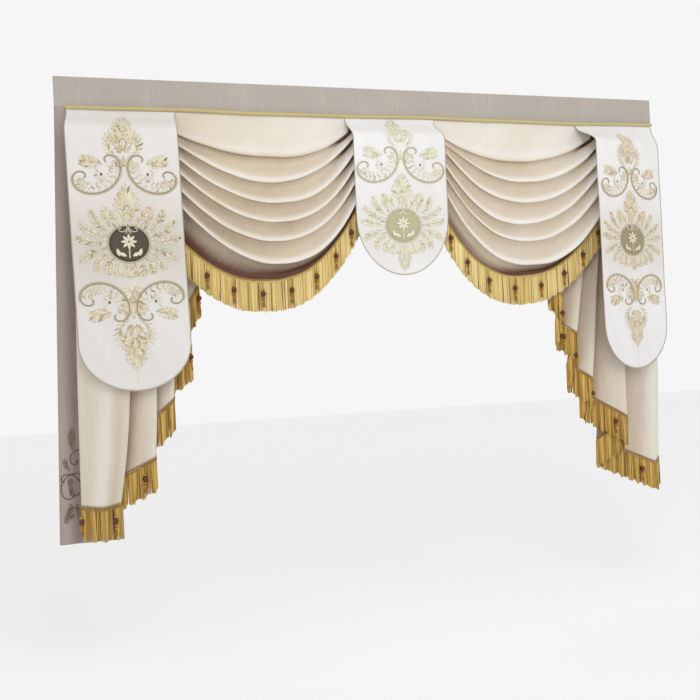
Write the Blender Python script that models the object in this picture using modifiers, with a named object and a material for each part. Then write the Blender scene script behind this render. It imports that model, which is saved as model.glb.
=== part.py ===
"""A window valance: two swags and two tails under three rounded tabs, sewn to one heading band.

X runs along the heading, -Y faces the room and Z is up. The origin is the middle of the band's top edge,
on its back.
"""

from math import cos, dist, pi, sin

import bmesh
import bpy

# Heading band and how the pieces are layered on its front, each a cloth and a gap further forward
CLOTH = 0.0012
GAP = 0.0003
BAND_THICK = 0.003
BAND_LEFT = -1.020
BAND_RIGHT = 0.952
BAND_HEIGHT = 0.101
SEAM_Z = -0.0875
FREE_Z = -0.0995
LAYER = {
    name: BAND_THICK + place * (CLOTH + GAP) + GAP + CLOTH / 2
    for place, name in enumerate(("drape", "tail", "swag", "tab", "braid"))
}

# Braid along the seam
BRAID_HIGH = 0.011
BRAID_THICK = 0.003
BRAID_LEFT = -0.988
BRAID_TOP_Z = -0.086
BRAID_STEPS = 36

# Tabs: centre line at the seam and at the foot, half width, where the round end starts and how low it
# reaches, and how far the folds behind push the left and the right edge forward
TABS = {
    "tab_left": {
        "seam_x": -0.834, "foot_x": -0.818, "half": 0.153, "round_z": -0.780, "foot_z": -0.916,
        "left_push": 0.088, "right_push": 0.092,
    },
    "tab_centre": {
        "seam_x": -0.010, "foot_x": -0.012, "half": 0.148, "round_z": -0.425, "foot_z": -0.604,
        "left_push": 0.093, "right_push": 0.093,
    },
    "tab_right": {
        "seam_x": 0.800, "foot_x": 0.807, "half": 0.147, "round_z": -0.785, "foot_z": -0.934,
        "left_push": 0.118, "right_push": 0.034,
    },
}
TAB_PUSH_FALL = 0.084
TAB_COLUMNS = 12
TAB_ROWS = 11
TAB_ROW_SPREAD = 1.3

# Swags: one row for each fold's ridge from the top down, then the hem. Each ridge is a bowl-shaped curve
# that hangs from the seam at left_x and right_x and is lowest at low_x, low_z. The bows say how full its two
# sides are, depth how far it stands forward of the seam, and tuck how far the cloth runs back under it.
RIDGE = ("left_x", "left_bow", "low_x", "low_z", "right_x", "right_bow", "depth", "tuck")
SWAGS = {
    "swag_left": (
        (-0.780, 2.30, -0.392, -0.239, -0.100, 2.30, 0.046, 0.024),
        (-0.800, 1.85, -0.411, -0.317, -0.088, 2.20, 0.056, 0.026),
        (-0.820, 1.80, -0.411, -0.382, -0.077, 2.50, 0.063, 0.027),
        (-0.840, 1.85, -0.411, -0.437, -0.066, 2.55, 0.069, 0.027),
        (-0.860, 1.80, -0.421, -0.496, -0.052, 2.60, 0.074, 0.027),
        (-0.875, 1.82, -0.406, -0.566, -0.040, 2.50, 0.076, 0.040),
        (-0.895, 2.17, -0.450, -0.608, -0.022, 2.50, 0.046, 0.000),
    ),
    "swag_right": (
        (0.100, 2.10, 0.380, -0.240, 0.770, 2.30, 0.046, 0.024),
        (0.090, 2.20, 0.432, -0.308, 0.790, 2.10, 0.056, 0.026),
        (0.078, 2.20, 0.425, -0.378, 0.805, 2.10, 0.063, 0.027),
        (0.066, 2.25, 0.400, -0.447, 0.820, 2.15, 0.069, 0.027),
        (0.052, 2.30, 0.420, -0.504, 0.835, 2.20, 0.074, 0.027),
        (0.040, 2.35, 0.425, -0.583, 0.850, 2.30, 0.076, 0.040),
        (0.022, 2.60, 0.410, -0.610, 0.865, 2.20, 0.046, 0.000),
    ),
}
SWAG_TOP = {"swag_left": (-0.755, -0.118), "swag_right": (0.118, 0.748)}
SWAG_COLUMNS = 22
SWAG_SWELL = 0.150
TUCK_LESS = 0.45
FOLD_ROWS = (0.0, 0.14, 0.36, 0.68)
FLAT_ROWS = (0.0, 0.5)

# Tails: one row for each edge and fold line, from the outer edge to the inner one. The line runs from top_x
# at the seam through mid_x half way down to hem_x at the hem, hem_z low, and stands forward of the seam by
# depth at its foot.
FOLD = ("top_x", "mid_x", "hem_x", "hem_z", "depth")
TAILS = {
    "tail_left": (
        (-0.972, -0.982, -0.990, -1.238, 0.050),
        (-0.948, -0.905, -0.930, -1.246, 0.064),
        (-0.925, -0.835, -0.876, -1.234, 0.072),
        (-0.903, -0.868, -0.912, -1.175, 0.044),
        (-0.865, -0.775, -0.776, -1.112, 0.064),
        (-0.843, -0.815, -0.826, -1.040, 0.036),
        (-0.805, -0.724, -0.718, -0.945, 0.058),
        (-0.783, -0.750, -0.762, -0.870, 0.030),
        (-0.745, -0.690, -0.662, -0.800, 0.054),
        (-0.723, -0.708, -0.695, -0.720, 0.026),
        (-0.682, -0.664, -0.636, -0.615, 0.044),
    ),
    "tail_right": (
        (0.948, 0.935, 0.912, -1.250, 0.012),
        (0.930, 0.905, 0.893, -1.268, 0.026),
        (0.885, 0.745, 0.664, -1.168, 0.016),
        (0.863, 0.790, 0.772, -1.100, 0.058),
        (0.825, 0.690, 0.606, -1.000, 0.020),
        (0.803, 0.715, 0.652, -0.965, 0.052),
        (0.768, 0.655, 0.562, -0.905, 0.020),
        (0.748, 0.680, 0.600, -0.810, 0.058),
        (0.718, 0.612, 0.530, -0.760, 0.022),
        (0.700, 0.632, 0.556, -0.680, 0.064),
        (0.672, 0.575, 0.504, -0.625, 0.058),
    ),
}
TURN_WIDE = 0.004
TURN_DEPTH = 0.31
FACE_BULGE = 0.002
TAIL_ROWS = 11
TAIL_ROW_SPREAD = 1.4
TAIL_BACK = 0.004
TAIL_STILL = 0.02
TAIL_FALL = 0.20
TAIL_HELD = 0.34
TAIL_HELD_Z = -0.50
TAIL_FREE_Z = -0.92

# Side drape behind the left tail: its two edges at the seam and at the foot, and its soft waves
DRAPE_TOP = (-1.020, -0.880)
DRAPE_FOOT = (-1.058, -0.880)
DRAPE_FOOT_Z = -1.350
DRAPE_WAVES = 2.5
DRAPE_WAVE_DEPTH = 0.0045
DRAPE_WAVE_FALL = 0.40
DRAPE_COLUMNS = 10
DRAPE_ROWS = 10

# Fringe: a strip parted from the hem, with locks that hang straight down from it
STRIP_HIGH = 0.010
STRIP_THICK = 0.0024
MOST_STEEP = 4.0
LOCK_PITCH = 0.020
LOCK_ROUND_UP = 0.3
LOCK_LONG = 0.088
LOCK_SHARE = 0.74
LOCK_MIDDLE = 0.93
LOCK_TIP = 0.80
LOCK_UNEVEN = 0.010
SWAG_LOCKS = 54
SWAG_FRINGE_ENDS = {"swag_left": (0.085, 0.925), "swag_right": (0.075, 0.915)}

COLOURS = {
    "header_band": ((0.60, 0.56, 0.50), 0.85),
    "gimp_braid": ((0.62, 0.46, 0.14), 0.55),
    "tab": ((0.80, 0.77, 0.76), 0.45),
    "swag": ((0.80, 0.72, 0.60), 0.50),
    "tail": ((0.78, 0.72, 0.64), 0.50),
    "fringe": ((0.70, 0.50, 0.12), 0.45),
    "side_drape": ((0.42, 0.35, 0.33), 0.70),
}


def ease(low, high, value):
    """Goes smoothly from 0 at low to 1 at high."""
    t = min(max((value - low) / (high - low), 0.0), 1.0)
    return t * t * (3 - 2 * t)


def mix(a, b, t):
    return tuple(p + (q - p) * t for p, q in zip(a, b))


def through(rows, steps):
    """The rows with steps - 1 more between each two, on a smooth curve through all of them."""
    smooth = []
    for i in range(len(rows) - 1):
        before, a, b, after = (rows[min(max(i + k, 0), len(rows) - 1)] for k in (-1, 0, 1, 2))
        for step in range(steps):
            t = step / steps
            weights = ((2 * t**2 - t - t**3) / 2, (2 - 5 * t**2 + 3 * t**3) / 2)
            weights += ((t + 4 * t**2 - 3 * t**3) / 2, (t**3 - t**2) / 2)
            near = zip(before, a, b, after)
            smooth.append(tuple(sum(w * value for w, value in zip(weights, values)) for values in near))
    return smooth + [tuple(rows[-1])]


def material(kind):
    if kind in bpy.data.materials:
        return bpy.data.materials[kind]
    colour, roughness = COLOURS[kind]
    made = bpy.data.materials.new(kind)
    made.use_nodes = True
    shader = made.node_tree.nodes["Principled BSDF"]
    shader.inputs["Base Color"].default_value = (*colour, 1.0)
    shader.inputs["Roughness"].default_value = roughness
    shader.inputs["Metallic"].default_value = 0.0
    return made


def add_object(name, mesh, kind):
    mesh.materials.append(material(kind))
    made = bpy.data.objects.new(name, mesh)
    parts.objects.link(made)
    return made


def sheet(name, rows, kind, thick=CLOTH):
    """Cloth through rows of points, each from left to right, given its thickness to both sides."""
    columns = len(rows[0])
    points = [point for row in rows for point in row]
    faces = [
        (r * columns + c, (r + 1) * columns + c, (r + 1) * columns + c + 1, r * columns + c + 1)
        for r in range(len(rows) - 1)
        for c in range(columns - 1)
    ]
    mesh = bpy.data.meshes.new(name)
    mesh.from_pydata(points, [], faces)
    mesh.shade_smooth()
    made = add_object(name, mesh, kind)
    made.modifiers.new("facets", "TRIANGULATE")
    solid = made.modifiers.new("thickness", "SOLIDIFY")
    solid.thickness = thick
    solid.offset = 0.0
    return made


def seam(row):
    """The sewn edge above a sheet's first free row."""
    return [(x, y, SEAM_Z) for x, y, z in row]


def header_band():
    bpy.ops.mesh.primitive_cube_add(
        size=1,
        location=((BAND_LEFT + BAND_RIGHT) / 2, -BAND_THICK / 2, -BAND_HEIGHT / 2),
        scale=(BAND_RIGHT - BAND_LEFT, BAND_THICK, BAND_HEIGHT),
    )
    band = bpy.context.object
    bpy.ops.object.transform_apply(location=True, rotation=False, scale=True)
    band.name = band.data.name = "header_band"
    bpy.context.collection.objects.unlink(band)
    parts.objects.link(band)
    band.data.materials.append(material("header_band"))


def gimp_braid():
    """A flat braid that wavers a little along the seam."""
    y = -(LAYER["tab"] + CLOTH / 2 + GAP + BRAID_THICK / 2)
    rows = []
    for drop in (0.0, BRAID_HIGH):
        row = []
        for step in range(BRAID_STEPS + 1):
            x = BRAID_LEFT + (BAND_RIGHT - BRAID_LEFT) * step / BRAID_STEPS
            waver = 0.0016 * sin(x * 7.3 + 0.6) + 0.0009 * sin(x * 17.0)
            row.append((x, y, BRAID_TOP_Z - drop + waver))
        rows.append(row)
    sheet("gimp_braid", rows, "gimp_braid", BRAID_THICK)


def tab(name):
    """A flat tab pushed forward by the folds behind it, with a round lower end."""
    size = TABS[name]
    rows = []
    for step in range(TAB_ROWS + 1):
        down = step / TAB_ROWS
        row = []
        for column in range(TAB_COLUMNS + 1):
            across = -cos(pi * column / TAB_COLUMNS)
            round_part = (size["round_z"] - size["foot_z"]) * sin(pi * column / TAB_COLUMNS)
            z = FREE_Z + (size["round_z"] - round_part - FREE_Z) * down**TAB_ROW_SPREAD
            lean = (FREE_Z - z) / (FREE_Z - size["foot_z"])
            centre = size["seam_x"] + (size["foot_x"] - size["seam_x"]) * lean
            push = size["left_push"] + (size["right_push"] - size["left_push"]) * (across + 1) / 2
            forward = LAYER["tab"] + push * ease(0, TAB_PUSH_FALL, FREE_Z - z)
            row.append((centre + size["half"] * across, -forward, z))
        rows.append(row)
    sheet(name, [seam(rows[0])] + rows, "tab")


def ridge_point(ridge, along):
    """A point of one ridge, along from 0 at its left end to 1 at its right one, with its depth and tuck."""
    side = "left" if along < 0.5 else "right"
    away = abs(1 - 2 * along)
    x = ridge["low_x"] + (ridge[side + "_x"] - ridge["low_x"]) * away
    z = ridge["low_z"] + (FREE_Z - ridge["low_z"]) * away ** ridge[side + "_bow"]
    return (x, z, ridge["depth"], ridge["tuck"] * (1 - TUCK_LESS * away**2))


def swag_point(upper, lower, share):
    """A point between two ridges. The cloth runs back under the upper one, then forward to the lower one."""
    x, z, depth, tuck = mix(upper, lower, share)
    tucked = 6.75 * share * (1 - share) ** 2 * tuck
    swell = ease(0, SWAG_SWELL, FREE_Z - z)
    return (x, -(LAYER["swag"] + (depth - tucked) * swell), z)


def swag_lines(name):
    """The seam line, the ridges and the hem, each as its points from left to right."""
    ends = SWAG_TOP[name]
    alongs = [column / SWAG_COLUMNS for column in range(SWAG_COLUMNS + 1)]
    lines = [[(ends[0] + (ends[1] - ends[0]) * along, FREE_Z, 0.0, 0.0) for along in alongs]]
    for values in SWAGS[name]:
        ridge = dict(zip(RIDGE, values))
        lines.append([ridge_point(ridge, along) for along in alongs])
    return lines


def swag(name):
    lines = swag_lines(name)
    rows = []
    for number in range(len(lines) - 1):
        for share in FLAT_ROWS if number == 0 else FOLD_ROWS:
            rows.append([swag_point(a, b, share) for a, b in zip(lines[number], lines[number + 1])])
    rows.append([swag_point(a, a, 0.0) for a in lines[-1]])
    sheet(name, [seam(rows[0])] + rows, "swag")


def tail_grow(z):
    """How open the folds are at a height: closed at the seam, held in behind the swag, free below it."""
    held = TAIL_HELD * ease(TAIL_STILL, TAIL_FALL, FREE_Z - z)
    return held + (1 - TAIL_HELD) * ease(-TAIL_HELD_Z, -TAIL_FREE_Z, -z)


def tail_point(fold, down):
    """A point of one fold line of a tail, down from 0 at the seam to 1 at the hem."""
    x = fold["top_x"] * (1 - down) * (1 - 2 * down)
    x += fold["mid_x"] * 4 * down * (1 - down) + fold["hem_x"] * down * (2 * down - 1)
    z = FREE_Z + (fold["hem_z"] - FREE_Z) * down
    back = TAIL_BACK * ease(TAIL_STILL, TAIL_FALL, FREE_Z - z)
    return (x, -(LAYER["tail"] + back + fold["depth"] * tail_grow(z)), z)


def between(a, b, share, depth):
    """A fold line between two others, with its own depth."""
    line = {column: a[column] + (b[column] - a[column]) * share for column in FOLD}
    line["depth"] = depth
    return line


def runs_back(a, b):
    """Whether the cloth from one fold line to the next runs back outward, behind or before a face."""
    return abs(b["hem_x"]) > abs(a["hem_x"])


def turn(face, ridge, back):
    """A fold as three lines: on its face, at the ridge, and on the cloth that runs back."""
    swing = (back["depth"] - ridge["depth"]) * TURN_DEPTH
    on_face = TURN_WIDE / abs(face["hem_x"] - ridge["hem_x"])
    on_back = TURN_WIDE / abs(back["hem_x"] - ridge["hem_x"])
    return [
        between(ridge, face, on_face, ridge["depth"]),
        between(ridge, face, 0.0, ridge["depth"] + swing / 2),
        between(ridge, back, on_back, ridge["depth"] + swing),
    ]


def tail_folds(name):
    """All lines of a tail: its edges, the fuller middle of each face and the round turns of its folds."""
    rows = [dict(zip(FOLD, row)) for row in TAILS[name]]
    folds = [rows[0]]
    for number, row in enumerate(rows[1:], 1):
        before, after = rows[number - 1], rows[min(number + 1, len(rows) - 1)]
        if not runs_back(before, row):
            folds.append(between(before, row, 0.5, (before["depth"] + row["depth"]) / 2 + FACE_BULGE))
        if runs_back(row, after):
            folds += turn(before, row, after)
        elif runs_back(before, row):
            folds += turn(after, row, before)[::-1]
        else:
            folds.append(row)
    return folds


def tail(name):
    folds = tail_folds(name)
    if folds[0]["top_x"] > folds[-1]["top_x"]:
        folds.reverse()
    downs = [(step / TAIL_ROWS) ** TAIL_ROW_SPREAD for step in range(TAIL_ROWS + 1)]
    rows = [[tail_point(fold, down) for fold in folds] for down in downs]
    sheet(name, [seam(rows[0])] + rows, "tail")


def side_drape():
    rows = []
    for step in range(DRAPE_ROWS + 1):
        down = step / DRAPE_ROWS
        z = FREE_Z + (DRAPE_FOOT_Z - FREE_Z) * down
        left, right = mix(DRAPE_TOP, DRAPE_FOOT, down)
        deep = DRAPE_WAVE_DEPTH * ease(0, DRAPE_WAVE_FALL, FREE_Z - z)
        row = []
        for column in range(DRAPE_COLUMNS + 1):
            across = column / DRAPE_COLUMNS
            wave = (1 + sin(2 * pi * DRAPE_WAVES * across)) / 2 * deep
            row.append((left + (right - left) * across, -(LAYER["drape"] + wave), z))
        rows.append(row)
    sheet("side_drape", [seam(rows[0])] + rows, "side_drape")


def evenly(line, count):
    """count + 1 points an equal way apart along a line of points."""
    runs = [0.0]
    for a, b in zip(line, line[1:]):
        runs.append(runs[-1] + sum((p - q) ** 2 for p, q in zip(a, b)) ** 0.5)
    points = []
    segment = 0
    for step in range(count + 1):
        way = runs[-1] * step / count
        while segment < len(runs) - 2 and runs[segment + 1] < way:
            segment += 1
        share = (way - runs[segment]) / (runs[segment + 1] - runs[segment])
        points.append(mix(line[segment], line[segment + 1], share))
    return points


def step_in_plan(a, b):
    """The direction in plan from one point to another, and how steeply the line between them runs."""
    length = max(dist(a[:2], b[:2]), 1e-6)
    return ((b[0] - a[0]) / length, (b[1] - a[1]) / length, abs(b[2] - a[2]) / length)


def fringe(name, hem):
    """A strip along the hem, with locks drawn down from its lower faces and a space beside each lock."""
    stations = []
    roots = []
    for start, end in zip(hem, hem[1:]):
        stations.append(start)
        count = int(dist(start, end) / LOCK_PITCH + LOCK_ROUND_UP)
        for number in range(count):
            roots.append(len(stations))
            stations.append(mix(start, end, (number + (1 - LOCK_SHARE) / 2) / count))
            stations.append(mix(start, end, (number + (1 + LOCK_SHARE) / 2) / count))
    stations.append(hem[-1])
    mesh = bmesh.new()
    rings = []
    for before, point, after in zip(stations[:1] + stations, stations, stations[1:] + stations[-1:]):
        coming, going = step_in_plan(before, point), step_in_plan(point, after)
        run = step_in_plan(before, after)
        side = (-run[1] * STRIP_THICK / 2, run[0] * STRIP_THICK / 2)
        slope = min(max(coming[2], going[2]), MOST_STEEP)
        bend = 1 - coming[0] * going[0] - coming[1] * going[1]
        top = point[2] - (GAP + CLOTH / 2) * (1 + slope**2) ** 0.5 - bend * slope * STRIP_THICK / 2
        corners = ((side, top), (side, top - STRIP_HIGH), ((-side[0], -side[1]), top - STRIP_HIGH))
        corners += (((-side[0], -side[1]), top),)
        rings.append([mesh.verts.new((point[0] + dx_dy[0], point[1] + dx_dy[1], z)) for dx_dy, z in corners])
    lower = []
    for number, (a, b) in enumerate(zip(rings, rings[1:])):
        for side in range(4):
            face = mesh.faces.new((a[side], a[(side + 1) % 4], b[(side + 1) % 4], b[side]))
            if side == 1 and number in roots:
                lower.append(face)
    mesh.faces.new(rings[0][::-1])
    mesh.faces.new(rings[-1])
    for stage, width in enumerate((LOCK_MIDDLE, LOCK_TIP)):
        lower = bmesh.ops.extrude_discrete_faces(mesh, faces=lower)["faces"]
        for number, face in enumerate(lower):
            long = LOCK_LONG + LOCK_UNEVEN * sin(number * 2.4) * sin(number * 0.7)
            middle = face.calc_center_median()
            for corner in face.verts:
                corner.co = middle + (corner.co - middle) * width
                corner.co.z -= long / 2
    bmesh.ops.recalc_face_normals(mesh, faces=mesh.faces)
    data = bpy.data.meshes.new(name)
    mesh.to_mesh(data)
    mesh.free()
    add_object(name, data, "fringe")


def swag_hem(name):
    line = [swag_point(a, a, 0.0) for a in through(swag_lines(name)[-1], 3)]
    first, last = (round(share * (len(line) - 1)) for share in SWAG_FRINGE_ENDS[name])
    return evenly(line[first : last + 1], SWAG_LOCKS)


for leftover in list(bpy.data.objects):
    bpy.data.objects.remove(leftover)
parts = bpy.data.collections.new("swag_valance")
bpy.context.scene.collection.children.link(parts)

header_band()
gimp_braid()
side_drape()
for name in TABS:
    tab(name)
for name in SWAGS:
    swag(name)
    fringe("fringe_" + name, swag_hem(name))
for name in TAILS:
    tail(name)
    fringe("fringe_" + name, [tail_point(fold, 1.0) for fold in tail_folds(name)])
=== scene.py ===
"""A swag and tail window valance in cream and gold, dressed over its solid model.

Metres, with X along the heading, -Y into the room and Z up, from the middle of the heading's top edge.
"""

from functools import partial
from math import cos, pi, radians, sin

import bpy
import numpy as np
from mathutils import Matrix, Vector


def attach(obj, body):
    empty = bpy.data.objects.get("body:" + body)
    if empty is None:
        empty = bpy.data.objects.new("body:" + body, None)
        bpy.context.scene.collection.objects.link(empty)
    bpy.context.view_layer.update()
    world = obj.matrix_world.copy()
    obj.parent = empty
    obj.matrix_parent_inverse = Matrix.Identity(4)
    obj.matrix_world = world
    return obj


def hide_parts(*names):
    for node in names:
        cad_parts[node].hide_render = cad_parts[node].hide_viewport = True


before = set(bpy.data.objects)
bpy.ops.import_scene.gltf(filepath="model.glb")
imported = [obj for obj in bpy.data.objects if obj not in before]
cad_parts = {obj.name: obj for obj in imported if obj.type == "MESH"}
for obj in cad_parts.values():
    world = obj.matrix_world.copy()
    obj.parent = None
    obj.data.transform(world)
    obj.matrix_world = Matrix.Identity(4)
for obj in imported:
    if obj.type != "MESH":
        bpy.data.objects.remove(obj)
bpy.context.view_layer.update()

# Camera
# It stands left of the middle, level with the foot of the tabs, and is turned to the right so that the whole
# valance is in the picture. It leans a little to one side, as a camera held in the hand does.
EYE = Vector((-0.76, -2.32, -0.82))
YAW = radians(14.2)
PITCH = radians(-0.2)
ROLL = radians(-2.6)
LENS = 38.93

lens = bpy.data.cameras.new("camera")
lens.lens = LENS
lens.sensor_width = 36
camera = bpy.data.objects.new("camera", lens)
bpy.context.scene.collection.objects.link(camera)
bpy.context.scene.camera = camera
ahead = Vector((sin(YAW) * cos(PITCH), cos(YAW) * cos(PITCH), sin(PITCH)))
level = ahead.cross(Vector((0, 0, 1))).normalized()
above = level.cross(ahead)
across = level * cos(ROLL) + above * sin(ROLL)
upward = above * cos(ROLL) - level * sin(ROLL)
camera.rotation_euler = Matrix((across, upward, -ahead)).transposed().to_euler()
camera.location = EYE

# Studio
# A wide pale floor well below the fringe, an even white surround, one large soft light from above the middle
# and a weaker one from the right.
FLOOR_Z = -1.75
FLOOR_SIZE = 16
FLOOR_COLOUR = (0.93, 0.93, 0.93, 1)
SURROUND = 0.92


def finish_of(name, values):
    """A finish whose surface shader has the given values."""
    finish = bpy.data.materials.new(name)
    finish.use_nodes = True
    for socket, value in values.items():
        finish.node_tree.nodes["Principled BSDF"].inputs[socket].default_value = value
    return finish


bpy.ops.mesh.primitive_plane_add(size=FLOOR_SIZE, location=(0, 0, FLOOR_Z))
floor = bpy.context.object
floor.name = "floor"
bpy.ops.object.transform_apply(location=True)
floor.data.materials.append(finish_of("pale_floor", {"Base Color": FLOOR_COLOUR, "Roughness": 0.9}))

world = bpy.data.worlds.new("surround")
world.use_nodes = True
world.node_tree.nodes["Background"].inputs["Color"].default_value = (1, 1, 1, 1)
world.node_tree.nodes["Background"].inputs["Strength"].default_value = SURROUND
bpy.context.scene.world = world
bpy.context.scene.view_settings.view_transform = "Standard"
for name, place, target, size, power in (
    ("key_light", (-0.2, -1.9, 0.7), (0.0, 0.0, -0.5), 1.0, 9),
    ("side_light", (2.2, -2.0, 0.2), (0.3, 0.0, -0.5), 1.2, 4),
):
    lamp = bpy.data.lights.new(name, "AREA")
    lamp.size = size
    lamp.energy = power
    lit = bpy.data.objects.new(name, lamp)
    bpy.context.scene.collection.objects.link(lit)
    lit.location = place
    lit.rotation_euler = (Vector(target) - Vector(place)).to_track_quat("-Z", "Y").to_euler()

# Heading band
# A flat band of greige cloth on a stiff interlining, folded over at the top and fixed above the window. All
# other pieces hang from its lower edge. The band's own solid shows, in a coarse weave with upright slubs.
BAND_CLOTH = ((175, 167, 157), (198, 191, 182), (213, 208, 200))
CLOTH_THICK = 0.0012


def from_screen(colour):
    """A colour as a screen shows it, 0 to 255, turned into the light that a surface returns."""
    parts = [value / 255 for value in colour]
    return tuple(p / 12.92 if p <= 0.04045 else ((p + 0.055) / 1.055) ** 2.4 for p in parts) + (1.0,)


def tone_ramp(tree, source, tones):
    """Colours a finish by a value from 0 to 1, through three tones."""
    ramp = tree.nodes.new("ShaderNodeValToRGB")
    ramp.color_ramp.elements.new(0.5)
    for element, colour, position in zip(ramp.color_ramp.elements, tones, (0.0, 0.5, 1.0)):
        element.position = position
        element.color = from_screen(colour)
    tree.links.new(source, ramp.inputs["Fac"])
    tree.links.new(ramp.outputs["Color"], tree.nodes["Principled BSDF"].inputs["Base Color"])


def emboss(tree, source, strength, height):
    """Gives a finish a relief that follows a value from 0 to 1."""
    bump = tree.nodes.new("ShaderNodeBump")
    bump.inputs["Strength"].default_value = strength
    bump.inputs["Distance"].default_value = height
    tree.links.new(source, bump.inputs["Height"])
    tree.links.new(bump.outputs["Normal"], tree.nodes["Principled BSDF"].inputs["Normal"])


def woven(name, tones, thread, rough, sheen, relief, coords="UV", slubs=(1.0, 0.12), blotch=0.10):
    """Woven cloth: warp and weft as relief, with thick threads, and a colour that follows the sheet's "tone".

    The three tones are painted shade deep in a fold, the cloth half way and a painted highlight on a ridge.
    """
    cloth = finish_of(name, {"Roughness": rough, "Sheen Weight": sheen, "Sheen Roughness": 0.35})
    nodes, links = cloth.node_tree.nodes, cloth.node_tree.links
    place = nodes.new("ShaderNodeTexCoord").outputs[coords]

    def noise(scale, stretch=(1, 1, 1), detail=3.0):
        turned = nodes.new("ShaderNodeMapping")
        turned.inputs["Scale"].default_value = stretch
        links.new(place, turned.inputs["Vector"])
        made = nodes.new("ShaderNodeTexNoise")
        made.inputs["Scale"].default_value = scale
        made.inputs["Detail"].default_value = detail
        links.new(turned.outputs["Vector"], made.inputs["Vector"])
        return made.outputs["Fac"]

    def combine(kind, a, b, clamp=False):
        made = nodes.new("ShaderNodeMath")
        made.operation = kind
        made.use_clamp = clamp
        for value, socket in ((a, made.inputs[0]), (b, made.inputs[1])):
            if isinstance(value, (int, float)):
                socket.default_value = value
            else:
                links.new(value, socket)
        return made.outputs[0]

    heights = []
    for direction in ("X", "Y"):
        bands = nodes.new("ShaderNodeTexWave")
        bands.bands_direction = direction
        bands.inputs["Scale"].default_value = 0.314 / thread
        bands.inputs["Distortion"].default_value = 0.6
        bands.inputs["Detail Scale"].default_value = 2.0
        links.new(place, bands.inputs["Vector"])
        heights.append(bands.outputs["Fac"])
    upright = noise(9.0, (34 * slubs[0], 1.5, 1), 4.0)
    weave = combine("MULTIPLY", heights[0], heights[1])
    raised = combine("ADD", weave, combine("MULTIPLY", upright, 1.6))
    emboss(cloth.node_tree, raised, relief, thread * 0.5)

    lay = nodes.new("ShaderNodeAttribute")
    lay.attribute_name = "tone"
    uneven = combine("MULTIPLY", combine("SUBTRACT", noise(5.0), 0.5), blotch * 2)
    streaks = combine("MULTIPLY", combine("SUBTRACT", upright, 0.5), slubs[1] * 2)
    mixed = combine("ADD", combine("ADD", lay.outputs["Fac"], uneven), streaks, True)
    tone_ramp(cloth.node_tree, mixed, tones)
    return cloth


def dress(piece, finish):
    """Gives a piece its only material and its slot, and lets it hang on the part."""
    piece.data.materials.clear()
    piece.data.materials.append(finish)
    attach(piece, "root")


def points_of(piece):
    """The points of a piece, as rows of x, y and z."""
    return np.array([tuple(vertex.co) for vertex in piece.data.vertices])


def set_tone(piece, values):
    """Stores a "tone" at each of its points for its colour to follow; on the cloth it is painted shade and
    highlight.
    """
    piece.data.attributes.new("tone", "FLOAT", "POINT").data.foreach_set("value", values)


def thicken(piece, thickness, offset):
    """Gives the active sheet its thickness, to both sides of its points or, with offset -1, behind them."""
    bpy.ops.object.shade_smooth()
    solid = piece.modifiers.new("thickness", "SOLIDIFY")
    solid.thickness = thickness
    solid.offset = offset
    bpy.ops.object.modifier_apply(modifier="thickness")


def cloth_sheet(name, points, tone, width, length, finish, slot):
    """A thin sheet on rows of points from the top down, with its painted shade and highlight as "tone" and
    its map in metres.
    """
    rows, columns = points.shape[:2]
    bpy.ops.mesh.primitive_grid_add(x_subdivisions=columns - 1, y_subdivisions=rows - 1, size=1)
    piece = bpy.context.object
    piece.name = piece.data.name = name
    flat = points_of(piece)
    column = np.rint((flat[:, 0] + 0.5) * (columns - 1)).astype(int)
    row = np.rint((0.5 - flat[:, 1]) * (rows - 1)).astype(int)
    piece.data.vertices.foreach_set("co", points[row, column].ravel())
    set_tone(piece, tone[row, column])
    threads = piece.data.uv_layers.active.data
    corners = np.empty(len(threads) * 2)
    threads.foreach_get("uv", corners)
    threads.foreach_set("uv", (corners.reshape(-1, 2) * (width, length)).ravel())
    thicken(piece, CLOTH_THICK, 0.0)
    dress(piece, finish)
    return piece


band_cloth = woven("greige_band_cloth", BAND_CLOTH, 0.0016, 0.85, 0.15, 0.5, "Object", (1.0, 0.3), 0.30)
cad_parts["header_band"].data.materials.clear()
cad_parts["header_band"].data.materials.append(band_cloth)

# Side drape
# A straight drape that hangs behind the left tail in soft waves, sewn to the same band. Its cloth is painted
# a dark mauve-grey, as painted shade where it hangs back out of the light.
# At the seam, each kind of piece lies one ply further forward than the kind before it.
SEAM_Z = -0.0875
FREE_Z = -0.0995
BAND_THICK = 0.003
PLY = 0.0015
PLIES = ("drape", "tail", "swag", "tab", "braid")
LAYER = {name: BAND_THICK + place * PLY + 0.0009 for place, name in enumerate(PLIES)}
# The drape's tones are painted shade: the cloth darkened to mauve-grey where it hangs back.
DRAPE_SHADED_CLOTH = ((134, 117, 110), (165, 149, 143), (182, 168, 161))
DRAPE_LEFT = -1.020
DRAPE_RIGHT = -0.880
DRAPE_FLARE = 0.038
DRAPE_FOOT_Z = -1.350
DRAPE_WAVES = 2.5
DRAPE_DEPTH = 0.0045
DRAPE_FLAT = (0.16, 1.26)
DRAPE_COLUMNS = 60
DRAPE_ROWS = 160


def ease(low, high, value):
    """Goes smoothly from 0 at low to 1 at high."""
    t = np.clip((value - low) / (high - low), 0.0, 1.0)
    return t * t * (3 - 2 * t)


def ripple(a, b, seed):
    """A soft unevenness, about -1 to 1, from waves that don't repeat together."""
    draw = np.random.default_rng(seed)
    total = 0.0
    for order in range(6):
        along, across = draw.uniform(0.5, 1.5, 2)
        phase = a * along * (order + 1) + b * across * (order * 0.7 + 1) + draw.uniform(0, 2 * pi)
        total = total + np.sin(phase) / (order + 1.5)
    return total / 1.6


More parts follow.
